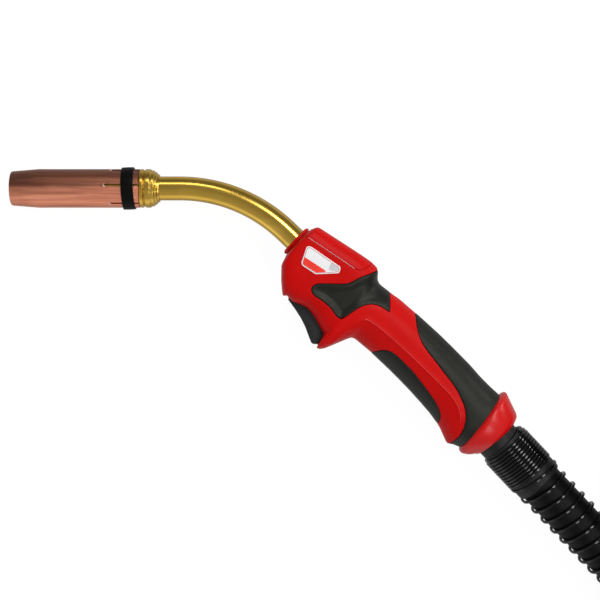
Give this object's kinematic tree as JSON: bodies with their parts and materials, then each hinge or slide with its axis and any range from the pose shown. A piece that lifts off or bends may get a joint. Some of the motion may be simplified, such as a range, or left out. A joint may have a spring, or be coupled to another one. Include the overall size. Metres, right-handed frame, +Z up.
{
  "type": "mig welding torch",
  "caption": "Swan-neck gas-shielded wire welding torch with push-on nozzle, two-part handle, pivoting trigger, ball-jointed hose and machine plug.",
  "frame": {"origin": "centre of the torch's footprint, without its hose, on the surface it lies on", "axes": "+Z up from the surface, square to the torch's middle plane; the nozzle points along -X; the trigger faces -Y"},
  "size_m": [0.7585, 0.3869, 0.0779],
  "materials": {
    "copper": "satin drawn copper",
    "ring_black": "matte fibre-filled plastic",
    "brass": "polished brass",
    "ceramic_white": "matte ceramic-filled plastic",
    "insulation_black": "matte",
    "steel": "plain steel",
    "shell_red": "satin moulded nylon",
    "grip_rubber": "soft matte overmoulding",
    "trigger_black": "matte moulded nylon",
    "badge_plate": "plain printed plate",
    "cuff_black": "satin moulded nylon",
    "spring_black": "black lacquered spring wire",
    "hose_rubber": "smooth black rubber",
    "conductor": "bare copper",
    "switch_body": "matte",
    "lead_cover": "smooth plastic cover",
    "seal_rubber": "smooth"
  },
  "bodies": {
    "handle": {"contact_tip": "copper", "tip_holder": "brass", "gas_diffuser": "ceramic_white", "neck_head": "brass", "neck_tube": "brass", "neck_insulation": "insulation_black", "inner_tube": "conductor", "wire_liner": "steel", "front_collar": "shell_red", "handle_shell_left": "shell_red", "handle_shell_right": "shell_red", "front_grip_left": "grip_rubber", "front_grip_right": "grip_rubber", "rear_grip_left": "grip_rubber", "rear_grip_right": "grip_rubber", "finger_grip_left": "grip_rubber", "finger_grip_right": "grip_rubber", "top_cover": "shell_red", "badge_left": "badge_plate", "badge_right": "badge_plate", "rear_collar": "shell_red", "shell_screws": "steel", "neck_clamp": "insulation_black", "power_block": "brass", "power_cable": "conductor", "cable_sleeve": "insulation_black", "trigger_pin": "steel", "trigger_spring": "steel", "microswitch": "switch_body", "switch_leads": "lead_cover"},
    "hose": {"hose_cuff": "cuff_black", "hose_end_sleeve": "hose_rubber", "bend_spring": "spring_black", "hose": "hose_rubber", "hose_coil": "hose_rubber", "hose_tail": "hose_rubber", "plug_spring": "spring_black", "plug_housing_top": "cuff_black", "plug_housing_bottom": "cuff_black", "plug_screws": "steel", "plug_cable_end": "conductor", "plug_body": "brass", "plug_insulator": "insulation_black", "contact_spring_a": "steel", "contact_spring_b": "steel", "centre_pin": "brass", "pin_o_ring": "seal_rubber"},
    "ball": {"swivel_ball": "cuff_black"},
    "nozzle": {"gas_nozzle": "copper", "nozzle_ring": "ring_black"},
    "trigger": {"trigger": "trigger_black"},
    "plunger": {"switch_plunger": "switch_body"},
    "coupling_nut": {"coupling_nut": "cuff_black"},
    "contact_pin_a": {"contact_pin_a": "brass"},
    "contact_pin_b": {"contact_pin_b": "brass"}
  },
  "joints": [
    {"name": "hose_spin", "type": "hinge", "parent": "hose", "child": "ball", "pos_m": [0.14186, -0.07224, 0.021], "axis": [-0.6881, 0.7251, 0.0262], "range_deg": [0, 180]},
    {"name": "hose_tilt", "type": "hinge", "parent": "ball", "child": "handle", "pos_m": [0.14186, -0.07224, 0.021], "axis": [0, 0, 1], "range_deg": [-6, 6]},
    {"name": "trigger_press", "type": "hinge", "parent": "handle", "child": "trigger", "pos_m": [0.02095, 0.01045, 0.021], "axis": [0, 0, 1], "range_deg": [0, 7.5], "stiffness_Nm_per_rad": 1, "springref_deg": -2.86, "deforming": ["trigger_spring"]},
    {"name": "plunger_press", "type": "slide", "parent": "handle", "child": "plunger", "axis": [0.6921, 0.7218, 0], "range_m": [0, 0.0022]},
    {"name": "nozzle_slide", "type": "slide", "parent": "handle", "child": "nozzle", "axis": [-1, 0, 0], "range_m": [0, 0.082]},
    {"name": "nut_spin", "type": "hinge", "parent": "hose", "child": "coupling_nut", "pos_m": [0.25455, -0.14645, 0.054], "axis": [0, -1, 0], "continuous": true},
    {"name": "contact_a_press", "type": "slide", "parent": "hose", "child": "contact_pin_a", "axis": [0, 1, 0], "range_m": [0, 0.003], "stiffness_N_per_m": 300, "springref_m": -0.003, "deforming": ["contact_spring_a"]},
    {"name": "contact_b_press", "type": "slide", "parent": "hose", "child": "contact_pin_b", "axis": [0, 1, 0], "range_m": [0, 0.003], "stiffness_N_per_m": 300, "springref_m": -0.003, "deforming": ["contact_spring_b"]}
  ],
  "couplings": [
    {"joint": "plunger_press", "follows": "trigger_press", "m_per_rad": 0.016}
  ]
}
